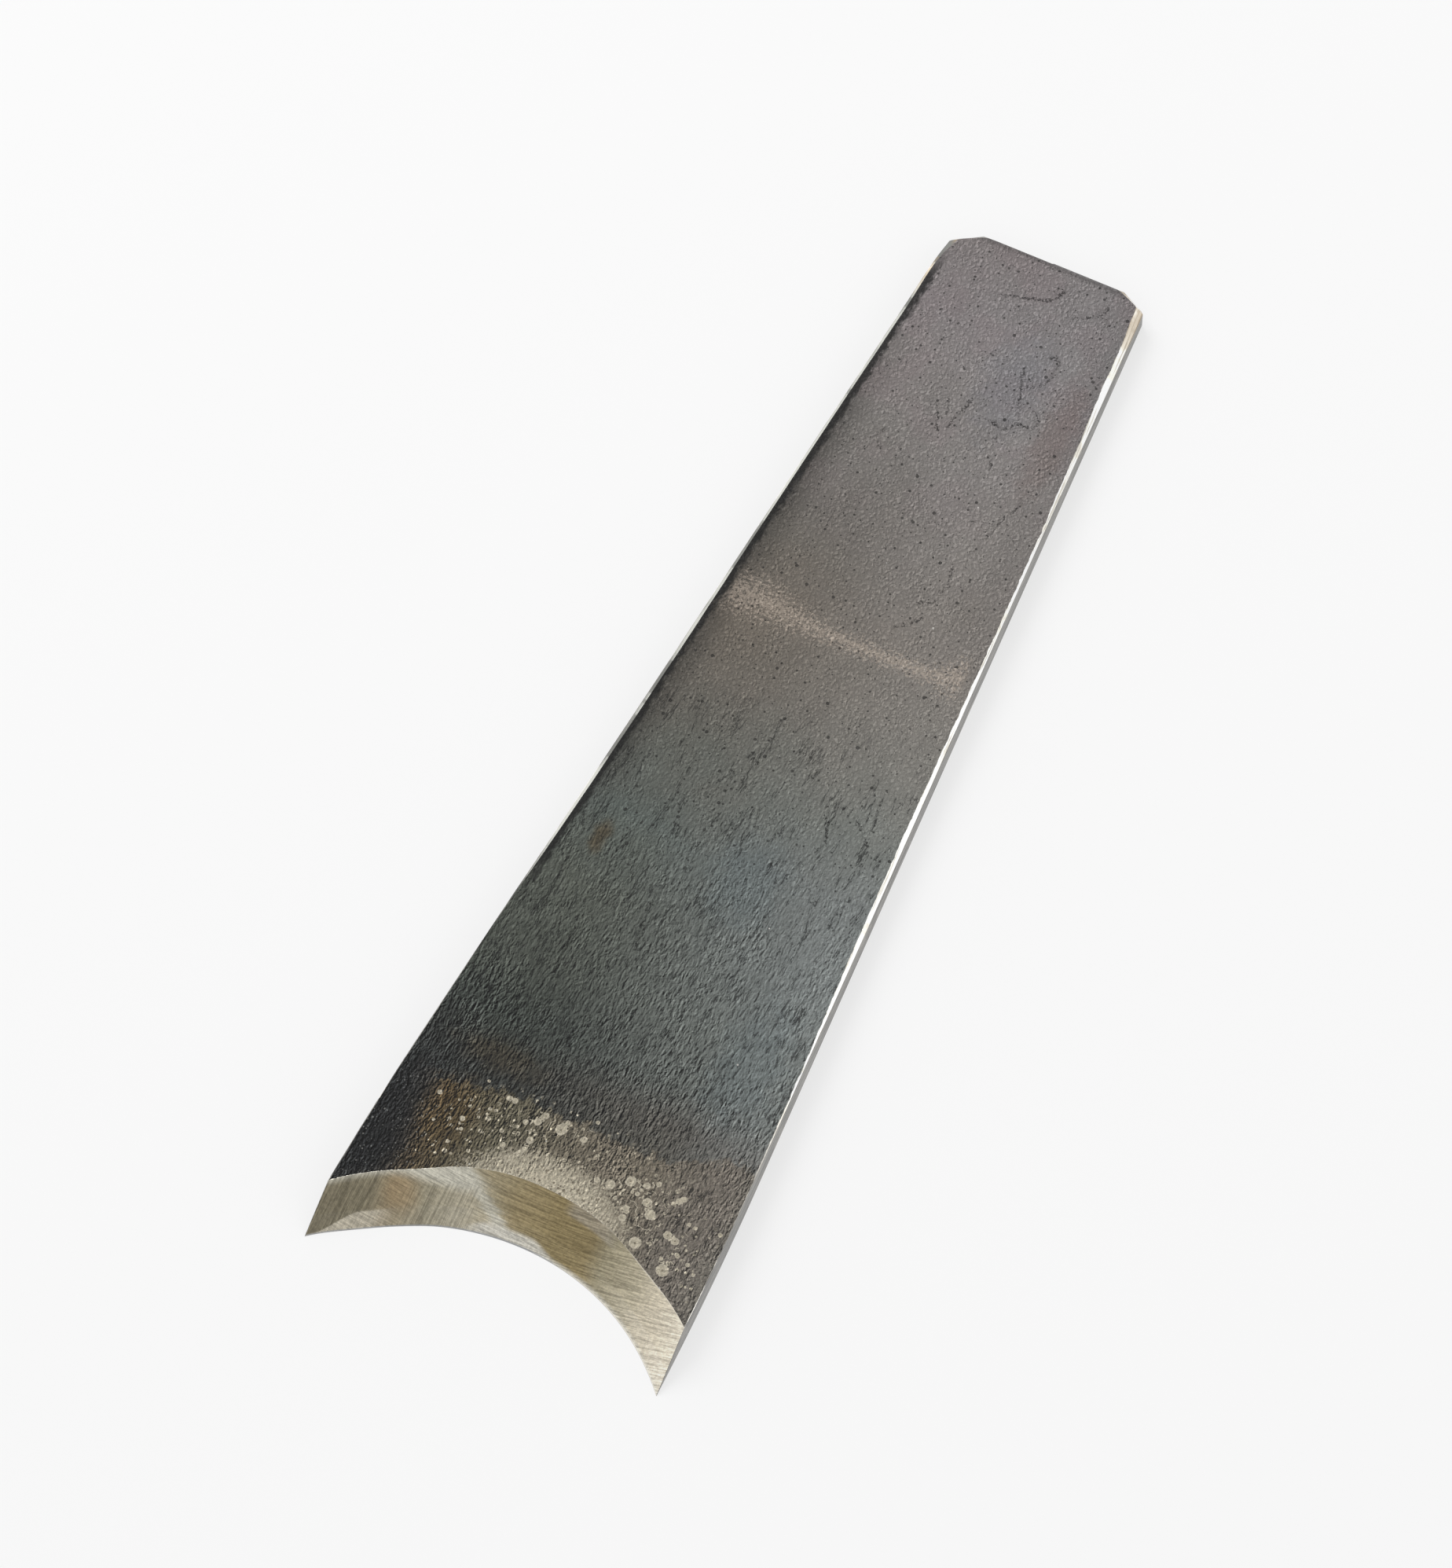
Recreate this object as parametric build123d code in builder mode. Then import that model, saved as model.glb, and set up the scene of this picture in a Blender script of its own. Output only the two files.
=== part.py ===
"""A tapered plane iron with a hollow cutting edge, forge-welded from two metals.

The blade lies on its flat back, bevel up. Millimetres. The origin is on the back face, under the
middle of the blade's outline; +Y runs from the cutting edge to the head, +Z through the thickness.
"""
from build123d import *
from math import hypot, radians, sin, tan
import os

# Outline of the blade, seen from above
blade_length = 100.0        # from the line through the two tips to the head
edge_width = 29.2           # from tip to tip
head_width = 16.6           # across the head, before its corners are cut
ear_relief = 0.55           # how far each tip stands in from the straight taper
ear_length = 18.5           # length over which the sides ease in to the tips
corner_cut_width = 2.1      # of the cut at each head corner, across the blade
corner_cut_length = 1.2     # of the same cut, along the blade

# Thickness, and how it is ground
blade_thickness = 2.3
edge_hollow = 6.2           # how deep the hollow edge runs in behind the line through the tips
bevel_angle = 28.7          # between the ground bevel and the flat back, in degrees
arris_chamfer = 0.32        # filed along the top of the sides

# The hard steel facing, welded into the back of the iron
facing_thickness = 0.8
facing_length = 64.0        # from the line through the tips
scarf_length = 8.0          # over which its end thins out to nothing
past_the_blade = 5.0        # how far the cutting shapes run out past the blade

# Places worked out from those sizes
tips_y = -blade_length / 2
head_y = blade_length / 2
tip_x = edge_width / 2
taper_start_x = tip_x + ear_relief
taper = (taper_start_x - head_width / 2) / blade_length
shoulder_y = tips_y + ear_length
shoulder_x = taper_start_x - taper * ear_length
corner_y = head_y - corner_cut_length
corner_x = head_width / 2 + taper * corner_cut_length
head_flat_x = head_width / 2 - corner_cut_width
edge_radius = (tip_x**2 + edge_hollow**2) / (2 * edge_hollow)
edge_centre_y = tips_y + edge_hollow - edge_radius
bevel_run = blade_thickness / tan(radians(bevel_angle))
facing_end_y = tips_y + facing_length
scarf_start_y = facing_end_y - scarf_length


# The blank: straight tapered sides, eased in to the tips, and a head with two cut corners
with BuildSketch() as blank_plan:
    with BuildLine() as blank_line:
        Line((0, tips_y), (tip_x, tips_y))
        TangentArc((shoulder_x, shoulder_y), (tip_x, tips_y), tangent=(taper, -1))
        Line((shoulder_x, shoulder_y), (corner_x, corner_y))
        Line((corner_x, corner_y), (head_flat_x, head_y))
        Line((head_flat_x, head_y), (0, head_y))
        mirror(about=Plane.YZ)
    make_face()

# The round that is ground away: it leaves the hollow edge, and its slope leaves the bevel
with BuildSketch() as hollow_plan:
    with Locations((0, edge_centre_y)):
        Circle(edge_radius)
bevel_direction = (0, bevel_run, blade_thickness)
bevel_length = hypot(bevel_run, blade_thickness)

# The space the steel facing fills, seen from the side: a plate with a scarfed end
with BuildSketch(Plane.YZ) as facing_section:
    with BuildLine():
        Polyline(
            (tips_y - past_the_blade, 0),
            (facing_end_y, 0),
            (scarf_start_y, facing_thickness),
            (tips_y - past_the_blade, facing_thickness),
            close=True,
        )
    make_face()
facing_reach = taper_start_x + past_the_blade


with BuildPart() as soft_iron_body:
    extrude(blank_plan.sketch, amount=blade_thickness)
    extrude(hollow_plan.sketch, amount=bevel_length, dir=bevel_direction, mode=Mode.SUBTRACT)
    extrude(facing_section.sketch, amount=facing_reach, both=True, mode=Mode.SUBTRACT)
    top_edges = soft_iron_body.faces().sort_by(Axis.Z)[-1].edges()
    side_edges = top_edges.filter_by(lambda edge: abs(edge.center().X) > head_flat_x)
    chamfer(side_edges, length=arris_chamfer)

with BuildPart() as hard_steel_facing:
    extrude(blank_plan.sketch, amount=blade_thickness)
    extrude(hollow_plan.sketch, amount=bevel_length, dir=bevel_direction, mode=Mode.SUBTRACT)
    extrude(facing_section.sketch, amount=facing_reach, both=True, mode=Mode.INTERSECT)


soft_iron_body.part.label = "soft_iron_body"
hard_steel_facing.part.label = "hard_steel_facing"

os.makedirs("parts", exist_ok=True)
export_step(soft_iron_body.part, "parts/soft_iron_body.step")
export_step(hard_steel_facing.part, "parts/hard_steel_facing.step")
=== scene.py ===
"""Looks for a forge-welded plane iron with a hollow cutting edge, built around its CAD frame.

The blade lies on its flat back. +Y runs from the cutting edge to the head, +Z up through the scale.
Sizes are in metres, and MM turns millimetres into them.
"""
from math import pi, radians

import bpy
import numpy as np
from bpy.props import FloatProperty, FloatVectorProperty, IntProperty, PointerProperty
from mathutils import Euler, Matrix, Vector, noise


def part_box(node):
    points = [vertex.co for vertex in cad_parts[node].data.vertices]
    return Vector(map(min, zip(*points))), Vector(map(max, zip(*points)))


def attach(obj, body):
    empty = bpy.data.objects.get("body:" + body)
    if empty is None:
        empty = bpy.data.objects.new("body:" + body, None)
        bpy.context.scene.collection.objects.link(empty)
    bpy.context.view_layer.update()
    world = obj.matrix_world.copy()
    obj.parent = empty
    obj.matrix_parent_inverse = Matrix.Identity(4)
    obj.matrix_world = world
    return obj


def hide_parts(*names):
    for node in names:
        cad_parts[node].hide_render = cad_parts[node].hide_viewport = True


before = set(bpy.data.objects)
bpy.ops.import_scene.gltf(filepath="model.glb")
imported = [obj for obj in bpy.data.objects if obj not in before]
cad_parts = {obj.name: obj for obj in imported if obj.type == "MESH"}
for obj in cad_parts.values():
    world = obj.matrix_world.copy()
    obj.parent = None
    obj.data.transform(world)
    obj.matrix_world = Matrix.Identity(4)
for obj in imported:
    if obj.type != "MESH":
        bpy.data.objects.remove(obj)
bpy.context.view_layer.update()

bl_info = {
    "name": "Hollow plane iron",
    "version": (1, 0, 0),
    "blender": (4, 5, 0),
    "location": "View3D > Sidebar > Plane Iron",
    "description": "Models and finishes a tapered, forge-welded plane iron with a hollow edge",
    "category": "Add Mesh",
}

MM = 0.001
BODY_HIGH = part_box("soft_iron_body")[1]
FACING_LOW, FACING_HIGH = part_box("hard_steel_facing")
TIPS_Y = FACING_LOW.y           # the line through the two tips
HEAD_Y = BODY_HIGH.y
LENGTH = HEAD_Y - TIPS_Y
THICKNESS = BODY_HIGH.z
TIP_X = FACING_HIGH.x
FACING_THICKNESS = FACING_HIGH.z
FACING_END_Y = FACING_HIGH.y

SCRATCH_DEPTH = 0.012 * MM      # on the ground metal
GRAIN_DEPTH = 0.10 * MM         # on the forge scale
# A small step towards the lamp on the left, in millimetres, which shades the grain of the scale
LAMP_STEP = (-0.10, 0.03, 0.0)
LAMP_SIZE = 0.4
FLOOR_SIZE = 6.0
FLOOR_GAP = 0.02 * MM           # keeps the floor clear of the flat back
CAMERA_AIM = (-3.2, -2.43, 0)   # millimetres
CAMERA_DISTANCE = 512.8         # millimetres
CAMERA_HEIGHT = 62.48           # degrees above the floor
CAMERA_TURN = 27.99             # degrees round the blade, from the edge towards the right
CAMERA_ROLL = -1.92             # degrees
CAMERA_LENS = 153.4             # millimetres

# How the hand-ground bevel strays from the true hollow: (x, cutting edge, top of the bevel),
# in millimetres
HAND_GRINDING = (
    (-14.6, 0.0, -0.30), (-11.6, -0.50, -0.55), (-8.9, -0.48, -0.62), (-6.2, -0.26, -0.22),
    (-3.0, -0.12, 0.02), (0.3, 0.0, 0.04), (5.5, 0.14, 0.06), (10.3, 0.16, -0.10), (14.6, 0.0, 0.62),
)

# Cracks round loose flakes of scale, as points (x, distance from the tips), in millimetres
FLAKE_CRACKS = (
    ((-5.0, 78.5), (-5.45, 78.9), (-5.8, 79.3), (-5.8, 79.8), (-5.3, 80.1)),
    ((-1.6, 81.9), (-2.0, 82.5), (-2.2, 83.3)),
    ((-1.6, 83.6), (-1.7, 84.2), (-2.1, 84.9)),
    ((-1.0, 82.5), (-0.8, 83.7), (-0.4, 84.8), (-0.4, 85.4)),
    ((1.5, 84.4), (2.3, 84.3), (2.9, 84.0), (3.0, 83.6), (2.8, 83.2)),
    ((3.2, 84.3), (3.8, 85.0), (5.1, 85.2), (5.3, 85.6), (4.9, 86.5), (4.2, 86.8)),
    ((3.6, 85.8), (3.2, 86.9), (3.0, 87.4), (2.4, 88.9), (2.2, 90.0)),
    ((3.1, 88.5), (3.9, 88.7), (4.4, 89.6), (4.6, 91.2), (4.2, 91.8), (3.7, 91.7)),
    ((3.6, 80.6), (3.4, 81.1), (3.1, 81.5)),
    ((6.1, 74.8), (6.4, 76.2), (6.5, 77.1), (7.1, 78.0), (7.1, 79.1)),
    ((-2.4, 95.2), (-1.5, 95.6), (0.9, 96.2), (1.6, 96.6), (2.0, 97.6)),
    ((3.8, 95.8), (4.7, 96.3), (5.6, 96.9), (5.8, 97.8)),
    ((3.1, 64.5), (3.7, 65.1), (4.6, 66.1)),
    ((3.8, 67.2), (4.9, 67.7), (4.9, 68.8), (5.2, 69.6), (4.7, 71.4)),
    ((9.6, 44.6), (9.3, 45.6), (9.2, 46.5), (8.5, 47.4), (7.7, 48.0)),
    ((6.1, 44.3), (6.4, 45.2), (5.9, 46.7)),
    ((-2.6, 31.0), (-2.9, 32.2), (-3.2, 34.2), (-3.2, 36.8)),
    ((-7.3, 27.0), (-7.5, 28.6), (-7.4, 30.6)),
    ((4.6, 26.4), (4.9, 27.6), (4.8, 28.8)),
)

# Pale stains where drops dried on the scale: (x, distance from the tips, radius), in millimetres
DROP_STAINS = (
    (-0.85, 15.2, 0.46), (-0.65, 15.9, 0.21), (1.05, 15.2, 0.27), (1.35, 16.9, 0.16), (4.45, 12.8, 0.38),
    (5.7, 13.7, 0.42), (5.25, 12.0, 0.18), (6.45, 10.8, 0.30), (6.35, 11.6, 0.25), (6.6, 13.0, 0.19),
    (6.95, 13.9, 0.27), (7.55, 12.7, 0.36), (8.2, 11.9, 0.42), (7.7, 14.4, 0.22), (10.1, 11.0, 0.33),
    (10.8, 10.8, 0.32), (9.65, 13.8, 0.26), (9.95, 14.1, 0.24), (11.0, 8.3, 0.50), (12.5, 9.5, 0.17),
    (11.4, 9.9, 0.16), (-3.4, 11.4, 0.27), (-2.8, 12.1, 0.25), (-2.6, 12.6, 0.20), (-2.55, 13.4, 0.29),
    (-2.7, 15.0, 0.30), (-2.4, 15.7, 0.28), (-3.5, 14.6, 0.22), (-4.2, 12.2, 0.23), (-4.8, 13.2, 0.17),
    (-5.5, 15.8, 0.22), (-5.0, 15.8, 0.24), (-6.4, 14.4, 0.15), (-7.9, 12.8, 0.21), (-7.6, 12.0, 0.15),
    (-10.4, 14.0, 0.20), (-9.8, 11.8, 0.14), (-7.5, 16.4, 0.13), (3.4, 12.7, 0.24), (8.2, 9.4, 0.48),
    (10.5, 9.1, 0.16), (11.5, 9.8, 0.19), (11.7, 12.4, 0.16), (13.6, 12.7, 0.18),
)

# How wide the arris is ground along each side: (distance from the tips, left, right), in millimetres
ARRIS_WIDTHS = (
    (0, 0.0, 0.0), (4, 0.02, 0.04), (15, 0.03, 0.07), (21, 0.04, 0.13), (30, 0.06, 0.18),
    (36, 0.18, 0.28), (82, 0.20, 0.28), (91, 0.24, 0.44), (97, 0.36, 0.50), (98.5, 0.70, 0.60),
    (100, 0.70, 0.50),
)


class BladeSizes(bpy.types.PropertyGroup):
    """Sizes of the blade's outline, grinding and forged relief."""

    hollow_depth: FloatProperty(
        name="Hollow depth", description="Depth of the hollow edge behind the tips",
        default=6.2 * MM, unit="LENGTH")
    bevel_run: FloatProperty(
        name="Bevel run", description="Length of the bevel along the blade",
        default=4.2 * MM, unit="LENGTH")
    head_width: FloatProperty(
        name="Head width", description="Width the tapered sides would have at the head",
        default=16.6 * MM, unit="LENGTH")
    ear_relief: FloatProperty(
        name="Ear relief", description="How far the tips stand in from the straight taper",
        default=0.55 * MM, unit="LENGTH")
    ear_length: FloatProperty(
        name="Ear length", description="Length over which the sides ease in to the tips",
        default=18.5 * MM, unit="LENGTH")
    left_cut: FloatVectorProperty(
        name="Left corner cut", description="Width and length of the cut at the left head corner",
        size=2, default=(2.2 * MM, 1.4 * MM), unit="LENGTH")
    right_cut: FloatVectorProperty(
        name="Right corner cut", description="Width and length of the cut at the right head corner",
        size=2, default=(2.1 * MM, 1.05 * MM), unit="LENGTH")
    head_round: FloatProperty(
        name="Head round", description="How far the head's upper arris is rounded over",
        default=0.22 * MM, unit="LENGTH")
    scarf_length: FloatProperty(
        name="Scarf length", description="Length over which the steel facing thins out",
        default=8.0 * MM, unit="LENGTH")
    hammer_depth: FloatProperty(
        name="Hammer marks", description="Depth of the broad hollows left by forging",
        default=0.055 * MM, unit="LENGTH")
    hammer_reach: FloatProperty(
        name="Hammer reach", description="Distance between the forging hollows",
        default=6.5 * MM, unit="LENGTH")
    scale_depth: FloatProperty(
        name="Scale relief", description="Depth of the ridges in the forge scale",
        default=0.040 * MM, unit="LENGTH")
    flake_lift: FloatProperty(
        name="Flake lift", description="How far loose flakes of scale stand up at their cracks",
        default=0.030 * MM, unit="LENGTH")
    roll_depth: FloatProperty(
        name="Rolled side", description="How far the scale rolls down along the left side",
        default=0.16 * MM, unit="LENGTH")
    roll_reach: FloatProperty(
        name="Rolled reach", description="Width of the rolled strip along the left side",
        default=1.1 * MM, unit="LENGTH")
    facet_depth: FloatProperty(
        name="Facet depth", description="How much deeper the second facet of the bevel is ground",
        default=0.05 * MM, unit="LENGTH")
    columns: IntProperty(
        name="Columns", description="Faces across the upper skin", default=150, min=20)
    rows: IntProperty(
        name="Rows", description="Faces along the upper skin", default=600, min=60)
    bevel_rows: IntProperty(
        name="Bevel rows", description="Rows of faces on the bevel", default=26, min=4)


def sizes():
    """The blade sizes held by the scene."""
    return bpy.context.scene.plane_iron_sizes


def through_points(x, points, column):
    """A smooth curve through given points in millimetres, read at x in metres."""
    knots = np.array([point[0] for point in points]) * MM
    values = np.array([point[column] for point in points]) * MM
    slopes = np.gradient(values, knots)
    at = np.clip(np.searchsorted(knots, x) - 1, 0, len(knots) - 2)
    gap = knots[at + 1] - knots[at]
    t = np.clip((x - knots[at]) / gap, 0, 1)
    rise = values[at + 1] - values[at]
    bend = (1 - t) * (gap * slopes[at] - rise) + t * (rise - gap * slopes[at + 1])
    return values[at] + t * rise + t * (1 - t) * bend


def hollow_y(x):
    """Where the round of the hollow edge lies, on the plane of the back."""
    depth = sizes().hollow_depth
    radius = (TIP_X**2 + depth**2) / (2 * depth)
    return TIPS_Y + depth - radius + np.sqrt(radius**2 - x**2)


def edge_y(x):
    """Where the cutting edge lies, as ground by hand."""
    return hollow_y(x) + through_points(x, HAND_GRINDING, 1)


def bevel_top_y(x):
    """Where the bevel meets the scaled face, as ground by hand."""
    return hollow_y(x) + sizes().bevel_run + through_points(x, HAND_GRINDING, 2)


def half_width(y, side):
    """Half the blade's width at y: a straight taper, eased in to the tips and cut at the head."""
    size = sizes()
    taper = (TIP_X + size.ear_relief - size.head_width / 2) / LENGTH
    straight = TIP_X + size.ear_relief - taper * (y - TIPS_Y)
    ear = np.clip(1 - (y - TIPS_Y) / size.ear_length, 0, 1)
    eased = straight - size.ear_relief * ear**2
    cut = np.where(side > 0, size.right_cut[0], size.left_cut[0])
    cut_slope = cut / np.where(side > 0, size.right_cut[1], size.left_cut[1])
    return np.minimum(eased, size.head_width / 2 - cut + cut_slope * (HEAD_Y - y))


def arris_width(y, side):
    """Width of the ground arris at y, on the left (-1) or the right (1)."""
    along = y - TIPS_Y
    left = through_points(along, ARRIS_WIDTHS, 1)
    right = through_points(along, ARRIS_WIDTHS, 2)
    return np.maximum(np.where(side > 0, right, left), 0)


def noise_at(x, y, x_reach, y_reach, octaves=3, seed=0.0):
    """Smooth noise from -1 to 1 at each point, with a wavelength across and one along the blade."""
    return np.array([
        noise.fractal((px, py, seed), 0.9, 2.0, octaves)
        for px, py in zip(x / x_reach, y / y_reach)
    ])


def crack_sides(x, y):
    """For each point, the signed distance to the nearest flake crack and how near it is, 0 to 1."""
    nearest = np.full(len(x), 1.0)
    signed = np.full(len(x), 1.0)
    for crack in FLAKE_CRACKS:
        points = np.array(crack) * MM + np.array([0, TIPS_Y])
        for start, end in zip(points[:-1], points[1:]):
            run = end - start
            share = ((x - start[0]) * run[0] + (y - start[1]) * run[1]) / (run @ run)
            share = np.clip(share, 0, 1)
            off_x = x - start[0] - share * run[0]
            off_y = y - start[1] - share * run[1]
            distance = np.hypot(off_x, off_y)
            closer = distance < nearest
            nearest = np.where(closer, distance, nearest)
            side = np.where(run[0] * off_y - run[1] * off_x >= 0, 1, -1)
            signed = np.where(closer, side * distance, signed)
    return signed, np.clip(1 - nearest / (0.5 * MM), 0, 1)


def nearest_drop(x, y):
    """For each point, where it lies from the middle of its nearest drop stain, and that radius."""
    nearest = np.full(len(x), 1.0)
    found = np.ones((len(x), 3))
    for stain_x, along, radius in np.array(DROP_STAINS) * MM:
        across, down = x - stain_x, y - TIPS_Y - along
        distance = np.hypot(across, down) - radius
        closer = distance < nearest
        nearest = np.where(closer, distance, nearest)
        found[closer] = np.stack([across, down, np.full(len(x), radius)], axis=1)[closer]
    return found


def face_relief(x, y, side):
    """How far the scaled face lies under the blade's full thickness."""
    size = sizes()
    past_bevel = np.clip((y - bevel_top_y(x)) / (0.6 * MM), 0, 1)
    from_side = half_width(y, side) - np.abs(x)
    along = (y - TIPS_Y) / LENGTH
    hammer = noise_at(x, y, size.hammer_reach, 1.6 * size.hammer_reach, 2)
    ridges = noise_at(x, y, 0.55 * MM, 2.6 * MM, 3, seed=4.0)
    ridged = np.interp(along, (0.05, 0.2, 0.45, 0.7), (1.0, 1.0, 0.6, 0.25))
    lumps = noise_at(x, y, 1.1 * MM, 1.3 * MM, 3, seed=9.0)
    signed, near = crack_sides(x, y)
    lift = size.flake_lift * near * np.clip(signed / (0.08 * MM), -1, 1)
    rolled = np.interp(along, (0.22, 0.36, 0.93, 0.97), (0.0, 1.0, 1.0, 0.2))
    uneven = 0.7 + 0.5 * noise_at(x, y, 30 * MM, 5 * MM, 2, seed=15.0)
    roll = np.clip(1 - from_side / size.roll_reach, 0, 1)**2 * rolled * uneven
    roll = np.where(side < 0, size.roll_depth, 0.25 * size.roll_depth) * roll
    head = np.clip(1 - (HEAD_Y - y) / (3 * size.head_round), 0, 1)**2 * size.head_round
    depth = size.hammer_depth * (0.5 + 0.5 * hammer)
    depth += size.scale_depth * (0.5 + 0.5 * ridges) * ridged
    depth += 0.4 * size.scale_depth * (0.5 + 0.5 * lumps)
    return past_bevel * np.maximum(depth - lift, 0) + past_bevel * roll + head


def bevel_relief(x, share):
    """How far the hand-ground bevel lies under its true slope, by x and share up the slope."""
    size = sizes()
    crease_x = -0.6 * MM - 5.0 * MM * share
    second = np.clip((x - crease_x) / (1.8 * MM), 0, 1)
    fades = np.clip((9.0 * MM - x) / (5 * MM), 0, 1)
    dip = second * (1 - 0.45 * second) * fades * np.sin(pi * share)
    crown = 0.35 * np.sin(pi * share) * np.clip((-7.0 * MM - x) / (4 * MM), 0, 1)
    return size.facet_depth * (dip + crown)


def outline_points(across, along):
    """Points of the blade's outer shape, with z on the true upper surface, from grid places."""
    size = sizes()
    side = np.sign(across)
    bevel_share = size.bevel_rows / size.rows
    on_bevel = np.clip(along / bevel_share, 0, 1)
    past = np.clip((along - bevel_share) / (1 - bevel_share), 0, 1)
    past = past * (0.78 + 0.22 * past)
    x = across * TIP_X
    for _ in range(8):
        low = edge_y(x)
        top = bevel_top_y(x)
        y = np.where(past > 0, top + past * (HEAD_Y - top), low + on_bevel * (top - low))
        x = across * half_width(y, side)
    x = across * half_width(y, side)
    return x, y, on_bevel


def skin_points(across, along):
    """Points of the upper skin: the outer shape drawn in by the arris, with all its relief."""
    size = sizes()
    x, y, on_bevel = outline_points(across, along)
    side = np.sign(across)
    arris = arris_width(y, side)
    near_head = np.clip((y - HEAD_Y) / (1.5 * MM) + 1, 0, 1)
    relief = face_relief(x, y, side) * (on_bevel >= 1)
    relief += bevel_relief(x, on_bevel) * (on_bevel < 1)
    x = x * (1 - arris / np.maximum(half_width(y, side), arris))
    y = y - size.head_round * near_head**2
    return np.column_stack((x, y, np.maximum(THICKNESS * on_bevel - relief, 0)))


def rim_points(across, along, drop):
    """Points of the outer rim, under the arris, or on the flat back when drop is all the way."""
    x, y, on_bevel = outline_points(across, along)
    side = np.sign(across)
    arris = np.maximum(arris_width(y, side), sizes().head_round * (along >= 1))
    top = THICKNESS * on_bevel - 1.05 * arris
    return np.column_stack((x, y, np.maximum(top, 0) * (1 - drop)))


def deselect_all():
    """Leaves nothing selected, in object mode."""
    if bpy.context.object and bpy.context.object.mode != "OBJECT":
        bpy.ops.object.mode_set(mode="OBJECT")
    bpy.ops.object.select_all(action="DESELECT")


def make_active(piece):
    """Selects one piece alone, as the active one."""
    deselect_all()
    piece.select_set(True)
    bpy.context.view_layer.objects.active = piece


def read_points(piece):
    """A piece's vertices as rows of x, y and z."""
    points = np.zeros(len(piece.data.vertices) * 3)
    piece.data.vertices.foreach_get("co", points)
    return points.reshape(-1, 3)


def write_points(piece, points):
    """Moves a piece's vertices to these points."""
    piece.data.vertices.foreach_set("co", np.asarray(points, float).ravel())
    piece.data.update()


def read_attribute(piece, name):
    """One number for each vertex."""
    values = np.zeros(len(piece.data.vertices))
    piece.data.attributes[name].data.foreach_get("value", values)
    return values


def write_attribute(piece, name, values, kind="FLOAT", field="value"):
    """Stores one number, or one vector, for each vertex."""
    attributes = piece.data.attributes
    attribute = attributes.get(name) or attributes.new(name, kind, "POINT")
    attribute.data.foreach_set(field, np.asarray(values, float).ravel())


def extrude_rim(blank, drop):
    """Extrudes the selected rim edges and puts the new ring in its place."""
    bpy.ops.object.mode_set(mode="EDIT")
    bpy.ops.mesh.extrude_edges_move()
    bpy.ops.object.mode_set(mode="OBJECT")
    chosen = np.zeros(len(blank.data.vertices), bool)
    blank.data.vertices.foreach_get("select", chosen)
    across = read_attribute(blank, "across")[chosen]
    along = read_attribute(blank, "along")[chosen]
    points = read_points(blank)
    points[chosen] = rim_points(across, along, drop)
    write_points(blank, points)


def select_rim(blank):
    """Selects the skin's open edges along both sides and the head, but not the cutting edge."""
    across = read_attribute(blank, "across")
    along = read_attribute(blank, "along")
    bpy.ops.object.mode_set(mode="EDIT")
    bpy.ops.mesh.select_mode(type="EDGE")
    bpy.ops.mesh.select_all(action="DESELECT")
    bpy.ops.object.mode_set(mode="OBJECT")
    for edge in blank.data.edges:
        a, b = edge.vertices
        on_side = across[a] == across[b] and abs(across[a]) == 1
        on_head = along[a] == along[b] == 1
        edge.select = bool(on_side or on_head)


def forge_blank():
    """The whole blade in one closed mesh: skin, arris, sides and flat back."""
    size = sizes()
    deselect_all()
    bpy.ops.mesh.primitive_grid_add(x_subdivisions=size.columns, y_subdivisions=size.rows, size=2)
    blank = bpy.context.object
    grid = read_points(blank)
    across = np.round(grid[:, 0], 6)
    along = np.round((grid[:, 1] + 1) / 2, 6)
    write_attribute(blank, "across", across)
    write_attribute(blank, "along", along)
    write_points(blank, skin_points(across, along))
    select_rim(blank)
    extrude_rim(blank, 0)
    extrude_rim(blank, 1)
    bpy.ops.object.mode_set(mode="EDIT")
    bpy.ops.mesh.select_mode(type="VERT")
    bpy.ops.mesh.select_all(action="SELECT")
    bpy.ops.mesh.remove_doubles(threshold=0.001 * MM)
    bpy.ops.mesh.select_all(action="DESELECT")
    bpy.ops.mesh.select_non_manifold(use_wire=False, use_multi_face=False, use_verts=False)
    bpy.ops.mesh.edge_face_add()
    bpy.ops.mesh.select_all(action="SELECT")
    bpy.ops.mesh.normals_make_consistent(inside=False)
    bpy.ops.object.mode_set(mode="OBJECT")
    return blank


def add_facing_block():
    """A block that fills the space of the steel facing, with its scarfed end, and runs out past it."""
    size = sizes()
    margin = 3 * MM
    slope = size.scarf_length / FACING_THICKNESS
    deselect_all()
    bpy.ops.mesh.primitive_cube_add(size=2)
    block = bpy.context.object
    corners = read_points(block)
    top = corners[:, 2] > 0
    far = corners[:, 1] > 0
    corners[:, 0] *= TIP_X + margin
    corners[:, 2] = np.where(top, FACING_THICKNESS, -margin)
    far_y = FACING_END_Y - slope * corners[:, 2]
    corners[:, 1] = np.where(far, far_y, TIPS_Y - margin)
    write_points(block, corners)
    return block


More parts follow.
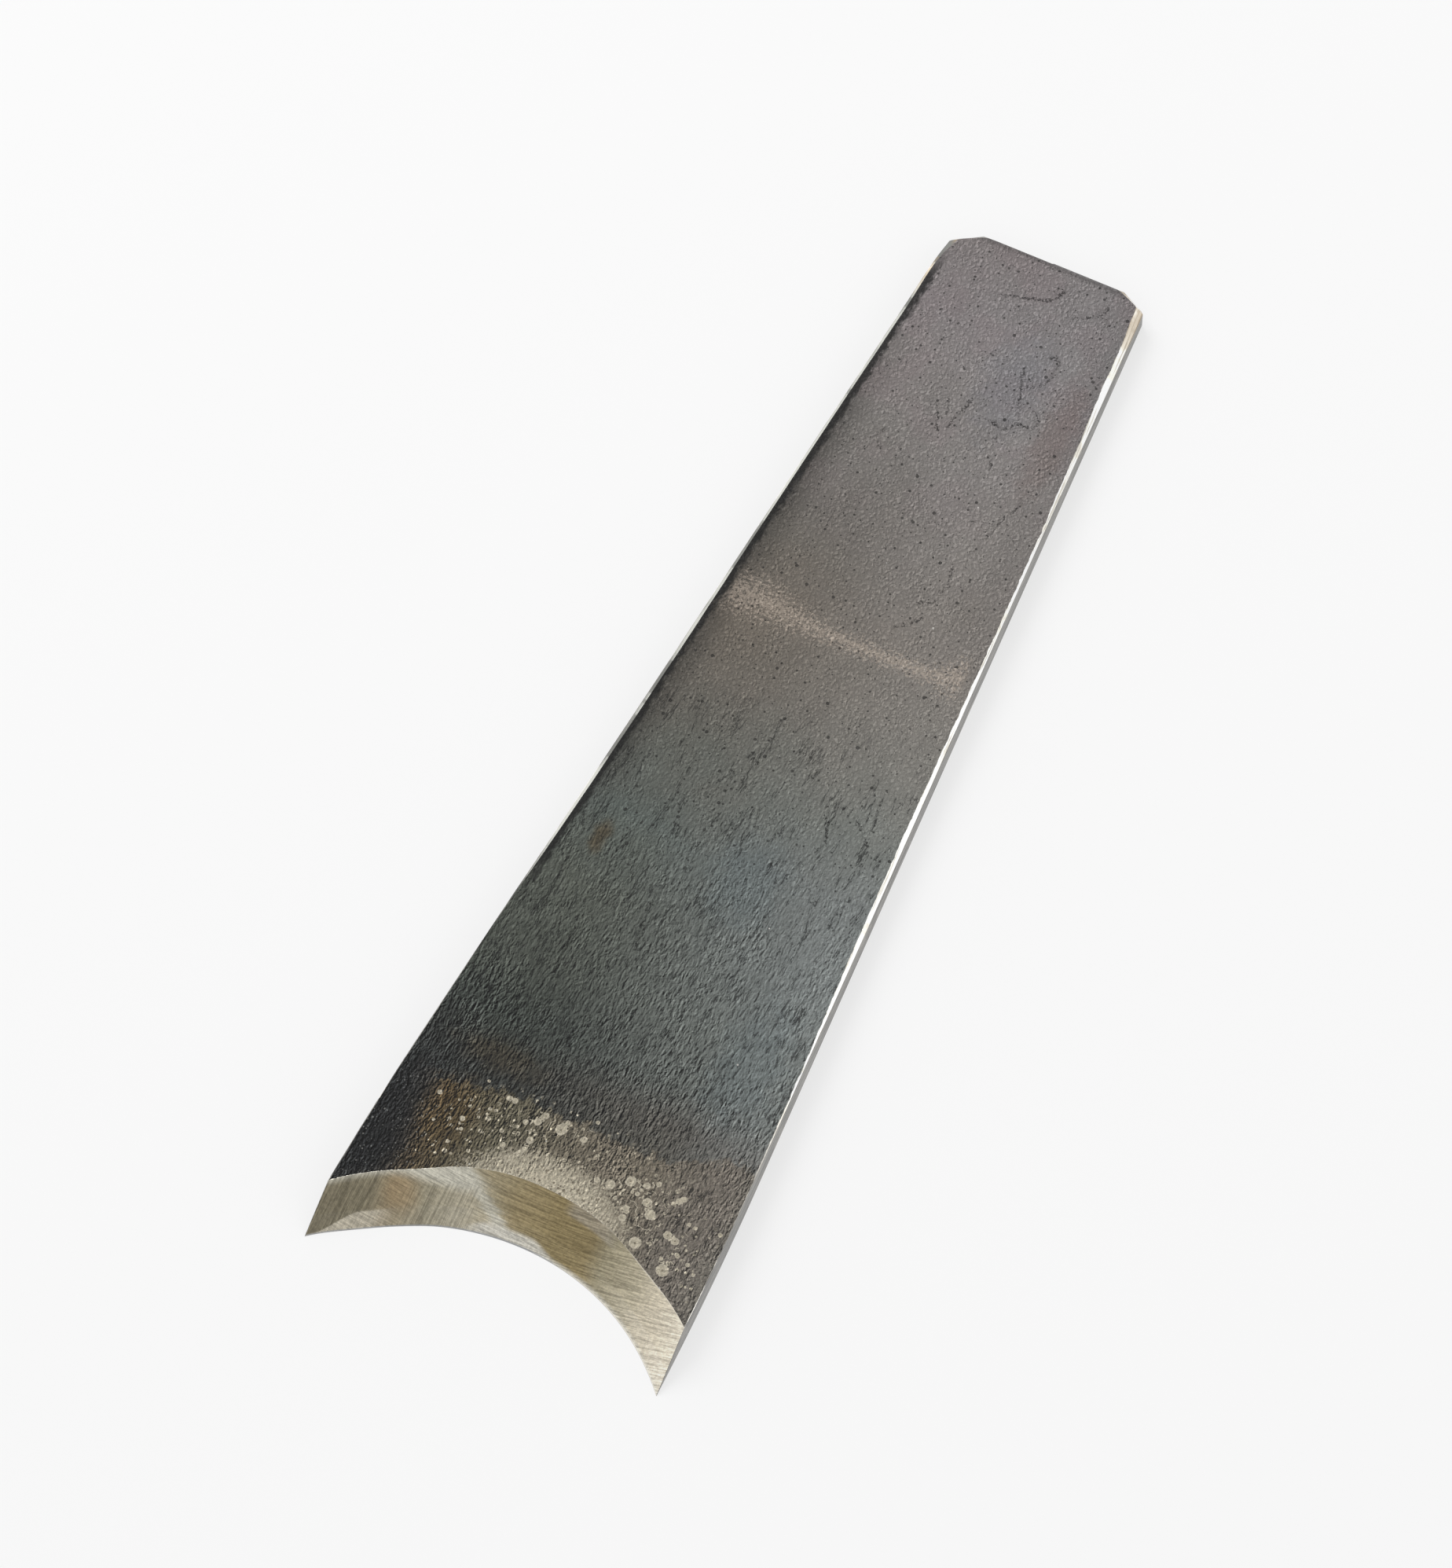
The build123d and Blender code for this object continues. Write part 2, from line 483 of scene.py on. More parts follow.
def cut_piece(name, operation):
    """A blank with the facing's space cut out of it, or only what is inside that space."""
    piece = forge_blank()
    piece.name = name
    piece.data.name = name
    block = add_facing_block()
    make_active(piece)
    cut = piece.modifiers.new("cut", "BOOLEAN")
    cut.object = block
    cut.operation = operation
    cut.solver = "MANIFOLD"
    bpy.ops.object.modifier_apply(modifier=cut.name)
    bpy.data.objects.remove(block)
    if not piece.data.polygons:
        raise RuntimeError(f"{name} came out empty")
    bpy.ops.object.mode_set(mode="EDIT")
    bpy.ops.mesh.select_all(action="SELECT")
    bpy.ops.mesh.remove_doubles(threshold=0.0005 * MM)
    bpy.ops.mesh.normals_make_consistent(inside=False)
    bpy.ops.object.mode_set(mode="OBJECT")
    bpy.ops.object.shade_smooth_by_angle(angle=radians(17))
    return piece


def mark_places(piece):
    """Stores what the finishes read: distances to the bevel, the sides, the cracks and the stains."""
    x, y, _ = read_points(piece).T
    side = np.sign(x)
    from_side = half_width(y, side) - np.abs(x)
    signed, near = crack_sides(x, y)
    write_attribute(piece, "from_edge", (y - edge_y(np.clip(x, -TIP_X, TIP_X))) / MM)
    write_attribute(piece, "past_bevel", (y - bevel_top_y(np.clip(x, -TIP_X, TIP_X))) / MM)
    write_attribute(piece, "past_arris", (from_side - arris_width(y, side)) / MM)
    write_attribute(piece, "from_side", from_side / MM)
    write_attribute(piece, "crack", signed / MM)
    write_attribute(piece, "near_crack", near)
    write_attribute(piece, "drop", nearest_drop(x, y) / MM, "FLOAT_VECTOR", "vector")
    for name in ("across", "along"):
        if name in piece.data.attributes:
            piece.data.attributes.remove(piece.data.attributes[name])


def tone(red, green, blue):
    """A colour as seen on a screen, 0 to 255, as the linear colour that shaders use."""
    shares = [value / 255 for value in (red, green, blue)]
    return tuple(s / 12.92 if s <= 0.04045 else ((s + 0.055) / 1.055) ** 2.4 for s in shares)


class BladeFinish(bpy.types.PropertyGroup):
    """Colours and finish of the scale and the bare metal."""

    scale_light: FloatProperty(
        name="Scale lightness", description="Brightness of the forge scale",
        default=0.97, min=0, max=2)
    scale_gloss: FloatProperty(
        name="Scale roughness", description="Roughness of the forge scale",
        default=0.46, min=0, max=1)
    steel_light: FloatProperty(
        name="Steel lightness", description="Brightness of the ground metal",
        default=1.28, min=0, max=2)
    stain_colour: FloatVectorProperty(
        name="Dried drops", description="Colour of the pale stains",
        default=tone(198, 189, 168), size=3, subtype="COLOR")
    rust_colour: FloatVectorProperty(
        name="Brown heat colour", description="Colour of the brown patches by the bevel",
        default=tone(84, 69, 44), size=3, subtype="COLOR")
    blue_colour: FloatVectorProperty(
        name="Blue heat colour", description="Colour of the blue patches of the scale",
        default=tone(88, 108, 116), size=3, subtype="COLOR")


class StudioLight(bpy.types.PropertyGroup):
    """The soft light round the blade."""

    sky_top: FloatProperty(
        name="Overhead", description="Brightness of the surroundings overhead",
        default=0.56, min=0)
    sky_side: FloatProperty(
        name="Around", description="Brightness of the surroundings near the horizon",
        default=0.95, min=0)
    key_power: FloatProperty(
        name="Key light", description="Power of the large lamp at the left",
        default=2.0, min=0, unit="POWER")
    fill_power: FloatProperty(
        name="Side light", description="Power of the lamp at the right",
        default=0.3, min=0, unit="POWER")
    floor_glow: FloatProperty(
        name="Floor glow", description="Light given off by the paper under the blade",
        default=0.645, min=0)


class Finish:
    """One material's node tree, with a short call for each kind of node that the finishes use."""

    def __init__(self, name):
        self.material = bpy.data.materials.new(name)
        self.material.use_nodes = True
        self.tree = self.material.node_tree
        self.shader = self.tree.nodes["Principled BSDF"]
        self.point = self.vector("SCALE", self.add("ShaderNodeTexCoord").outputs["Object"],
                                 scale=1 / MM)
        parts = self.add("ShaderNodeSeparateXYZ", {0: self.point}).outputs
        self.x, self.z = parts[0], parts[2]
        self.along = self.math("SUBTRACT", parts[1], TIPS_Y / MM)

    def add(self, kind, inputs=None, **settings):
        """Adds a node, with its settings and what goes into its sockets."""
        node = self.tree.nodes.new(kind)
        for name, value in settings.items():
            setattr(node, name, value)
        for socket, value in (inputs or {}).items():
            self.feed(node.inputs[socket], value)
        return node

    def feed(self, socket, value):
        """Links a socket to another, or sets it to a plain value."""
        if isinstance(value, bpy.types.NodeSocket):
            self.tree.links.new(value, socket)
        elif socket.type == "RGBA":
            socket.default_value = (*value[:3], 1)
        else:
            socket.default_value = value

    def math(self, operation, *values):
        """The result of one operation on numbers or sockets."""
        return self.add("ShaderNodeMath", dict(enumerate(values)), operation=operation).outputs[0]

    def vector(self, operation, first, second=None, scale=None):
        """The result of one operation on vectors."""
        inputs = {0: first}
        if second is not None:
            inputs[1] = second
        if scale is not None:
            inputs["Scale"] = scale
        return self.add("ShaderNodeVectorMath", inputs, operation=operation).outputs["Vector"]

    def rise(self, value, low, high):
        """0 below low and 1 above high, smoothly between. With high under low it falls instead."""
        if high < low:
            return self.math("SUBTRACT", 1.0, self.rise(value, high, low))
        node = self.add("ShaderNodeMapRange", {0: value, 1: low, 2: high},
                        interpolation_type="SMOOTHSTEP")
        return node.outputs[0]

    def both(self, *masks):
        """Where all the masks are on: their product."""
        result = masks[0]
        for mask in masks[1:]:
            result = self.math("MULTIPLY", result, mask)
        return result

    def either(self, *masks):
        """Where any of the masks is on: the highest of them."""
        result = masks[0]
        for mask in masks[1:]:
            result = self.math("MAXIMUM", result, mask)
        return result

    def length(self, across, down):
        """The length of an arrow with these two parts."""
        return self.math("SQRT", self.math("ADD", self.both(across, across), self.both(down, down)))

    def band(self, value, middle, half, soft):
        """1 within half of middle, fading out over soft."""
        away = self.math("ABSOLUTE", self.math("SUBTRACT", value, middle))
        return self.rise(away, half + soft, half)

    def patch(self, x, along, x_reach, y_reach, wander=0.0):
        """A soft oval, 1 at its middle. wander is a noise round 0 that frays its outline."""
        across = self.math("DIVIDE", self.math("SUBTRACT", self.x, x), x_reach)
        down = self.math("DIVIDE", self.math("SUBTRACT", self.along, along), y_reach)
        return self.rise(self.math("ADD", self.length(across, down), wander), 1.0, 0.25)

    def noise(self, stretch, detail=3.0, roughness=0.55, warp=0.0, seed=0.0, turn=0.0, shift=None):
        """0 to 1 noise. stretch is how many waves there are in a millimetre along X, Y and Z."""
        place = self.vector("ADD", self.point, shift) if shift else self.point
        if turn:
            place = self.add("ShaderNodeMapping", {0: place, 2: (0, 0, radians(turn))}).outputs[0]
        place = self.vector("ADD", self.vector("MULTIPLY", place, stretch), (seed, seed, seed))
        return self.add("ShaderNodeTexNoise", {
            "Vector": place, "Scale": 1.0, "Detail": detail, "Roughness": roughness,
            "Distortion": warp}).outputs[0]

    def relief(self, strength, *stretch_and_detail, **noise_settings):
        """A noise, and how much brighter or darker its slopes are where they face the lamp."""
        height = self.noise(*stretch_and_detail, **noise_settings)
        nearer_lamp = self.noise(*stretch_and_detail, shift=LAMP_STEP, **noise_settings)
        return height, self.math("MULTIPLY", self.math("SUBTRACT", height, nearer_lamp), strength)

    def dots(self, *sets):
        """Round dots. A set is (cells in a millimetre, largest radius, share of cells used, seed)."""
        return self.either(*(self.dot_set(*one_set) for one_set in sets))

    def dot_set(self, per_mm, radius, share, seed):
        """Dots up to radius in millimetres, at most one to a cell of the blade's plane."""
        place = self.vector("MULTIPLY", self.point, (per_mm, per_mm, 0))
        place = self.vector("ADD", place, (seed, seed, 0))
        cells = self.add("ShaderNodeTexVoronoi", {"Vector": place, "Scale": 1.0},
                         voronoi_dimensions="2D")
        chance = self.add("ShaderNodeSeparateColor", {0: cells.outputs["Color"]}).outputs
        reach = self.math("MULTIPLY", chance[1], radius * per_mm)
        inside = self.math("LESS_THAN", cells.outputs["Distance"], reach)
        return self.both(inside, self.math("LESS_THAN", chance[0], share))

    def mark(self, name):
        """One of the numbers that mark_places stored on the mesh."""
        return self.add("ShaderNodeAttribute", attribute_name=name).outputs["Fac"]

    def mix(self, share, first, second, blend="MIX"):
        """A colour between first and second."""
        node = self.add("ShaderNodeMix", data_type="RGBA", blend_type=blend)
        self.feed(node.inputs[0], share)
        self.feed(node.inputs[6], first)
        self.feed(node.inputs[7], second)
        return node.outputs[2]

    def coats(self, colour, *coats):
        """Lays coats over a colour, in order. Each coat is its masks, then its own colour."""
        for *masks, coat in coats:
            colour = self.mix(self.both(*masks), colour, coat)
        return colour

    def blend(self, share, first, second):
        """A plain number between first and second."""
        node = self.add("ShaderNodeMix", {0: share, 2: first, 3: second}, data_type="FLOAT")
        return node.outputs[0]

    def ramp(self, value, low, high, stops):
        """A run of screen colours, each (place, red, green, blue), with places from low to high."""
        share = self.math("DIVIDE", self.math("SUBTRACT", value, low), high - low)
        node = self.add("ShaderNodeValToRGB", {0: share})
        elements = node.color_ramp.elements
        while len(elements) < len(stops):
            elements.new(1.0)
        for element, (place, *colour) in zip(elements, stops):
            element.position = (place - low) / (high - low)
            element.color = (*tone(*colour), 1)
        return node.outputs[0]

    def brighten(self, colour, factor):
        """Multiplies a colour by a number."""
        return self.vector("SCALE", colour, scale=factor)

    def bump(self, height, distance):
        """Raises the surface by height, 0 to 1, times distance in metres."""
        return self.add("ShaderNodeBump", {
            "Height": height, "Distance": distance, "Strength": 1.0}).outputs[0]

    def finish(self, **sockets):
        """Feeds the shader and gives the finished material."""
        for name, value in sockets.items():
            self.feed(self.shader.inputs[name.replace("_", " ")], value)
        return self.material


# Colours of the scale past the brown ground: (distance from the tips, red, green, blue). They hold the
# scale's own tones with painted sheen: the right side and the head end are lighter, and the left near
# the tips darker.
LEFT_SCALE = (
    (16, 57, 59, 57), (19, 61, 63, 59), (22, 69, 74, 69), (27, 83, 87, 80), (34, 95, 99, 91),
    (41, 100, 107, 102), (48, 106, 106, 99), (54, 114, 109, 101), (61, 119, 111, 101),
    (67, 115, 110, 103), (73, 120, 115, 110), (80, 132, 128, 124), (87, 140, 134, 132),
    (93, 141, 135, 135), (99, 137, 130, 129),
)
RIGHT_SCALE = (
    (16, 94, 92, 85), (19, 104, 101, 95), (22, 111, 115, 111), (27, 123, 128, 124),
    (34, 128, 133, 131), (41, 129, 133, 131), (46, 128, 131, 126), (51, 134, 133, 127),
    (57, 139, 135, 129), (64, 143, 137, 131), (73, 146, 141, 137), (80, 146, 141, 139),
    (90, 143, 140, 140), (99, 139, 135, 135),
)
# Colours of the brown ground between the bevel and the scale: (x, red, green, blue)
BROWN_GROUND = (
    (-14, 44, 45, 45), (-12, 53, 51, 47), (-10, 88, 76, 58), (-7.5, 97, 89, 71),
    (-4.5, 103, 98, 82), (-1, 117, 110, 95), (3, 127, 119, 105), (7, 126, 118, 104),
    (10, 124, 117, 107), (12.5, 127, 120, 111), (14.5, 127, 122, 113),
)
# Colours of the ground bevel from the left tip to the right one: (x, red, green, blue). They are partly
# the metal's own tints and partly painted reflection of the surroundings.
BEVEL_TONES = (
    (-14.5, 112, 106, 90), (-12, 130, 124, 105), (-10, 152, 139, 115), (-7.5, 154, 147, 127),
    (-5, 172, 165, 146), (-3, 172, 163, 140), (-1, 162, 149, 120), (2.5, 144, 131, 100),
    (5.2, 138, 126, 98), (7.0, 150, 142, 119), (9.5, 174, 166, 145), (12, 200, 191, 172),
    (14.5, 214, 206, 189),
)


def stone_facets(finish, from_edge, under_top):
    """Masks of the facets that the stone left on the bevel, by name, and of the painted highlights along
    the crease and along the cutting edge.
    """
    math, both, rise = finish.math, finish.both, finish.rise
    fringe = finish.noise((0.10, 4.5, 0.0), 4.0, 0.7, seed=9.0, turn=-4)
    crease_x = math("ADD", math("MULTIPLY_ADD", from_edge, -1.22, -0.55),
                    math("MULTIPLY_ADD", fringe, 2.2, -1.1))
    left_of_crease = math("SUBTRACT", crease_x, finish.x)
    tip_border = math("MULTIPLY_ADD", rise(finish.x, -14.2, -11.6), 1.2, 0.1)
    edge_run = math("MULTIPLY_ADD", finish.band(finish.x, -1.0, 1.7, 2.4), 0.62, 0.10)
    crease_highlight_run = math("MULTIPLY_ADD", rise(finish.x, -11.0, -5.0), 1.45, 0.02)
    return {
        "tip_corner": both(rise(math("SUBTRACT", from_edge, tip_border), 0.0, 0.12),
                           rise(finish.x, -10.2, -11.4)),
        "tip_edge": both(rise(math("SUBTRACT", tip_border, from_edge), -0.1, 0.1),
                         rise(finish.x, -9.0, -11.0)),
        "edge_highlight": both(rise(math("SUBTRACT", edge_run, from_edge), -0.32, 0.12),
                          rise(finish.x, -5.0, -2.8)),
        "crease_highlight": finish.either(
            both(rise(math("SUBTRACT", crease_highlight_run, under_top), -0.6, 0.3),
                 rise(left_of_crease, -0.9, 0.1)),
            both(finish.band(left_of_crease, 0.25, 0.2, 0.9), rise(from_edge, 0.1, 0.8), 0.85)),
        "olive": both(rise(left_of_crease, 0.1, -1.8), rise(finish.x, 6.6, 4.6),
                      rise(math("SUBTRACT", from_edge, edge_run), -0.1, 0.3)),
        "lilac": both(rise(finish.x, 2.0, 3.2), rise(finish.x, 7.5, 6.0), rise(under_top, 1.0, 0.7)),
    }


def stone_scratches(finish, under_top, tip_corner):
    """Scratches that run along the blade at the left tip, and across it elsewhere."""
    math, both, rise = finish.math, finish.both, finish.rise
    mottled = finish.noise((0.8, 0.8, 0.0), 3.0, 0.6, seed=4.0)
    lengthways = finish.either(
        tip_corner, both(rise(math("ADD", finish.x, mottled), -8.6, -9.6), 0.35),
        both(finish.band(finish.x, -6.5, 2.0, 1.5), rise(under_top, 0.9, 1.5), 0.75))
    coarse_across = finish.noise((0.12, 8.0, 0.0), 4.0, 0.72, seed=1.0, turn=-3)
    coarse_along = finish.noise((7.0, 0.12, 0.0), 4.0, 0.72, seed=2.0, turn=4)
    fine_across = finish.noise((0.25, 7.0, 0.0), 4.0, 0.7, seed=5.0, turn=7)
    fine_along = finish.noise((3.0, 0.4, 0.0), 4.0, 0.7, seed=6.0, turn=5)
    coarse = finish.blend(lengthways, coarse_across, coarse_along)
    fine = finish.blend(lengthways, fine_across, fine_along)
    return math("ADD", math("MULTIPLY", coarse, 0.65), math("MULTIPLY", fine, 0.35))


def ground_metal(finish):
    """The scratched metal of the bevel: its colour, with painted reflection and highlights, its
    roughness and the height of its scratches.
    """
    math, both, rise = finish.math, finish.both, finish.rise
    from_edge = finish.mark("from_edge")
    under_top = math("MULTIPLY", finish.mark("past_bevel"), -1.0)
    facets = stone_facets(finish, from_edge, under_top)
    lines = stone_scratches(finish, under_top, facets["tip_corner"])
    wander = finish.noise((0.35, 0.35, 0.35), 2.0, seed=3.0)
    x = math("ADD", finish.x, math("MULTIPLY_ADD", wander, 2.4, -1.2))
    colour = finish.coats(
        finish.ramp(x, -15.0, 15.0, BEVEL_TONES),
        (facets["tip_corner"], 0.65, tone(124, 117, 99)),
        (facets["tip_edge"], 0.8, tone(188, 180, 162)),
        (finish.patch(-9.5, 5.8, 2.0, 1.8), 0.5, tone(156, 134, 102)),
        # painted highlight along the crease between the facets and below the top of the bevel
        (facets["crease_highlight"], 0.9, tone(193, 190, 177)),
        (facets["olive"], 0.5, tone(133, 118, 83)),
        (facets["lilac"], 0.55, tone(158, 152, 141)),
        # painted highlight along the cutting edge
        (facets["edge_highlight"], 0.9, tone(202, 198, 186)))
    grain = finish.noise((3.5, 3.5, 0.0), 4.0, 0.7, seed=7.0)
    shade = both(math("MULTIPLY_ADD", rise(lines, 0.40, 0.60), 0.62, 0.69),
                 math("MULTIPLY_ADD", rise(grain, 0.4, 0.6), 0.24, 0.88))
    # painted highlights: thin glints along the cutting edge and, fainter, along the top of the bevel at
    # the right
    edge_glints = finish.either(
        both(rise(from_edge, 0.11, 0.05), rise(finish.x, 3.5, 5.5)),
        both(rise(under_top, 0.11, 0.05), rise(finish.x, 7.5, 9.5), 0.4))
    colour = finish.coats(
        finish.brighten(colour, shade),
        (edge_glints, tone(222, 216, 202)),
        (rise(from_edge, 0.13, 0.06), rise(finish.x, 4.0, 2.0), 0.7, tone(150, 153, 158)))
    roughness = finish.blend(rise(lines, 0.3, 0.7), 0.46, 0.32)
    return colour, roughness, lines


def side_metal(finish):
    """The filed sides, darker with fine lines along the blade, and the ground arrises, painted as a
    bright highlight on the right and darker on the left as the light falls.
    """
    both, rise = finish.both, finish.rise
    lines = finish.noise((1.2, 0.12, 9.0), 4.0, 0.7, seed=8.0)
    blotches = finish.noise((0.5, 0.35, 0.5), 3.0, 0.6, seed=11.0)
    on_right = rise(finish.x, -1.0, 1.0)
    side = finish.mix(rise(lines, 0.42, 0.58), tone(84, 82, 79), tone(142, 140, 135))
    # painted highlight on the right arris; the left arris, the same ground metal, is painted darker
    bright = finish.mix(rise(lines, 0.47, 0.40), tone(246, 242, 232), tone(190, 186, 176))
    bright = finish.mix(on_right, tone(112, 112, 108), bright)
    dull = finish.mix(rise(blotches, 0.4, 0.6), tone(150, 147, 141), tone(186, 183, 176))
    arris = finish.mix(rise(finish.along, 17.0, 27.0), dull, bright)
    on_arris = both(rise(finish.mark("from_side"), 0.015, 0.035), rise(finish.z, 1.5, 1.75))
    burnt = both(rise(finish.along, 91.0, 98.0), rise(blotches, 0.40, 0.54), rise(finish.z, 1.2, 1.7))
    colour = finish.coats(
        side, (on_arris, arris),
        (rise(blotches, 0.58, 0.68), on_right, 0.4, tone(162, 158, 150)),
        (burnt, 0.6, tone(158, 138, 110)))
    return colour, lines


def weld_seam(finish, colour):
    """Darkens the line of the weld, which shows as a fine dark line along the sides."""
    seam = finish.both(finish.band(finish.z, FACING_THICKNESS / MM, 0.012, 0.02),
                       finish.rise(finish.mark("from_side"), 0.06, 0.01))
    return finish.coats(colour, (seam, 0.8, tone(40, 38, 36)))


def scale_colour(finish):
    """The broad colours of the forge scale, with the brown ground next to the bevel, and painted sheen
    and shade: lighter to the right and towards the head, darker along the left side.
    """
    look = bpy.context.scene.plane_iron_finish
    math, both, rise = finish.math, finish.both, finish.rise
    drift = finish.noise((0.16, 0.16, 0.16), 3.0, 0.5, seed=21.0)
    swing = math("MULTIPLY_ADD", rise(finish.along, 22.0, 42.0), 8.0, 1.0)
    along = math("ADD", finish.along, math("MULTIPLY", math("SUBTRACT", drift, 0.5), swing))
    left = finish.ramp(along, 16.0, 99.0, LEFT_SCALE)
    right = finish.ramp(along, 16.0, 99.0, RIGHT_SCALE)
    # painted shade: the scale is darker along the left side over most of the blade's length
    left_side_shade = both(rise(finish.mark("from_side"), 3.2, 0.6), rise(finish.x, 0.0, -3.0),
                        rise(finish.along, 36.0, 46.0), rise(finish.along, 92.0, 78.0),
                        rise(finish.z, 1.0, 1.6))
    brown = finish.ramp(math("ADD", finish.x, math("MULTIPLY_ADD", drift, 3.0, -1.5)), -15.0, 15.0,
                        BROWN_GROUND)
    wander = finish.noise((0.8, 0.5, 0.0), 5.0, 0.75, seed=22.0)
    border = math("ADD", math("MULTIPLY_ADD", wander, 5.0, 13.7), both(rise(finish.x, 7.5, 12.0), 2.2))
    border = math("SUBTRACT", border, both(rise(finish.x, -5.0, -10.0), 0.8))
    # The mix from the left colours to the right ones is partly the scale's own tone and partly painted
    # sheen
    colour = finish.coats(
        finish.mix(rise(finish.x, -9.0, 10.0), left, right),
        (rise(finish.x, -9.0, -13.0), rise(finish.along, 26.0, 16.0), 0.6, tone(44, 46, 46)),
        (left_side_shade, 0.60, tone(60, 57, 53)),
        # painted sheen: the right side lighter towards the tips
        (rise(finish.x, 6.0, 12.0), rise(finish.along, 60.0, 30.0), 0.16, tone(190, 196, 196)),
        (rise(finish.x, 4.5, 8.5), rise(finish.along, 58.0, 68.0), 0.22, tone(84, 79, 75)),
        (rise(math("SUBTRACT", border, finish.along), -0.30, 0.25), brown))
    return finish.brighten(colour, look.scale_light)


def heat_colours(finish, frayed):
    """The scale's colours with the blue, brown, black and mauve patches that the heat left."""
    look = bpy.context.scene.plane_iron_finish
    math, both, rise, patch = finish.math, finish.both, finish.rise, finish.patch
    mottle = finish.noise((0.5, 0.35, 0.0), 4.0, 0.6, seed=61.0)
    blue = finish.either(patch(2.5, 39.5, 4.2, 5.5, frayed), patch(9.5, 26.0, 4.0, 8.0, frayed))
    brown = finish.either(patch(-9.2, 12.6, 3.0, 4.4, frayed), patch(-9.3, 38.4, 1.0, 2.3, frayed),
                          both(patch(-7.5, 18.6, 5.0, 2.0, frayed), 0.4))
    mauve = rise(finish.noise((0.22, 0.22, 0.0), 3.0, seed=63.0), 0.45, 0.62)
    return finish.coats(
        finish.brighten(scale_colour(finish), math("MULTIPLY_ADD", mottle, 0.34, 0.83)),
        (blue, 0.20, look.blue_colour),
        (brown, 0.65, look.rust_colour),
        (patch(-13.0, 9.5, 4.2, 7.5, frayed), 0.85, tone(33, 34, 35)),
        (mauve, rise(finish.along, 66.0, 84.0), 0.16, tone(142, 124, 128)),
        (patch(7.0, 85.0, 2.2, 8.0, frayed), 0.30, tone(118, 96, 90)),
        (patch(2.0, 88.0, 3.6, 7.0, frayed), 0.25, tone(118, 122, 132)))


def scale_grain(finish):
    """The scale's ridges, its crumbs, both as one height, how ridged it is, and its shade: the grain's
    own tone with painted light and shade where its slopes face the lamp.

    Long ridges near the edge die out towards the head, where only crumbs are left.
    """
    math, both, either, rise = finish.math, finish.both, finish.either, finish.rise
    x, along = finish.x, finish.along
    ridges, lit_ridges = finish.relief(3.6, (4.8, 1.3, 0.0), 4.0, 0.66, warp=0.6, seed=41.0, turn=1)
    crumbs, lit_crumbs = finish.relief(2.6, (4.2, 3.2, 0.0), 4.0, 0.70, warp=0.5, seed=43.0)
    on_brown = both(rise(x, -3.0, 3.0), rise(along, 17.5, 15.5), 0.6)
    ridged = both(rise(along, 66.0, 28.0), math("SUBTRACT", 1.0, on_brown))
    grain = finish.blend(both(ridged, 0.62), rise(crumbs, 0.38, 0.62), rise(ridges, 0.38, 0.62))
    patchy = rise(finish.noise((0.5, 0.3, 0.0), 4.0, 0.65, seed=44.0), 0.40, 0.60)
    burnt_tip = both(rise(x, -7.5, -11.0), rise(along, 30.0, 18.0))
    strength = both(
        either(both(rise(along, 34.0, 18.0), 1.5), both(rise(along, 80.0, 24.0), 0.80), 0.52),
        math("MULTIPLY_ADD", patchy, 0.7, 0.65), math("ADD", burnt_tip, 1.0),
        math("MULTIPLY_ADD", both(rise(x, 4.0, 8.0), rise(along, 60.0, 50.0)), -0.35, 1.0))
    # painted light and shade: slopes of the ridges and crumbs that face the lamp are lighter, the others
    # darker
    painted_slope_light = math("ADD", both(lit_ridges, math("MULTIPLY_ADD", ridged, 0.9, 0.1)), lit_crumbs)
    shade = math("MULTIPLY_ADD", math("SUBTRACT", grain, 0.5), 0.45, painted_slope_light)
    return ridges, crumbs, grain, ridged, math("MULTIPLY_ADD", shade, strength, 1.0)


def scale_breaks(finish, ragged):
    """Masks of the scale's pits, of its fine splits and of the cracks round its loose flakes."""
    math, both, rise = finish.math, finish.both, finish.rise
    pits = both(finish.dots((0.8, 0.16, 0.25, 50.0), (1.4, 0.11, 0.30, 51.0), (2.3, 0.07, 0.25, 52.0)),
                rise(finish.along, 20.0, 45.0))
    splits = finish.noise((0.9, 0.14, 0.0), 5.0, 0.62, warp=0.3, seed=54.0, turn=2)
    splits = both(
        rise(math("ABSOLUTE", math("SUBTRACT", splits, 0.5)), 0.018, 0.007),
        rise(finish.noise((0.9, 0.25, 0.0), 2.0, seed=55.0), 0.50, 0.54),
        rise(finish.along, 60.0, 48.0))
    wavy = finish.noise((3.0, 3.0, 0.0), 4.0, 0.7, seed=53.0)
    signed = math("ADD", finish.mark("crack"), math("MULTIPLY_ADD", wavy, 1.5, -0.75))
    width = finish.blend(rise(ragged, 0.42, 0.58), -0.01, 0.045)
    cracks = both(rise(math("SUBTRACT", math("ABSOLUTE", signed), width), 0.03, -0.01),
                  rise(finish.mark("near_crack"), 0.45, 0.75))
    return pits, splits, cracks


def crescent_shape(finish, speckle):
    """The pale crescent on the bevel's rim, where the scale is rubbed thin."""
    math = finish.math
    across = math("DIVIDE", math("SUBTRACT", finish.x, 0.7), 7.0)
    reach = finish.length(across, math("DIVIDE", finish.mark("past_bevel"), 2.7))
    uneven = math("MULTIPLY_ADD", speckle, 0.3, -0.15)
    return finish.both(finish.rise(math("ADD", reach, uneven), 1.08, 0.90),
                       math("MULTIPLY_ADD", finish.rise(reach, 1.0, 0.2), 0.4, 0.55))


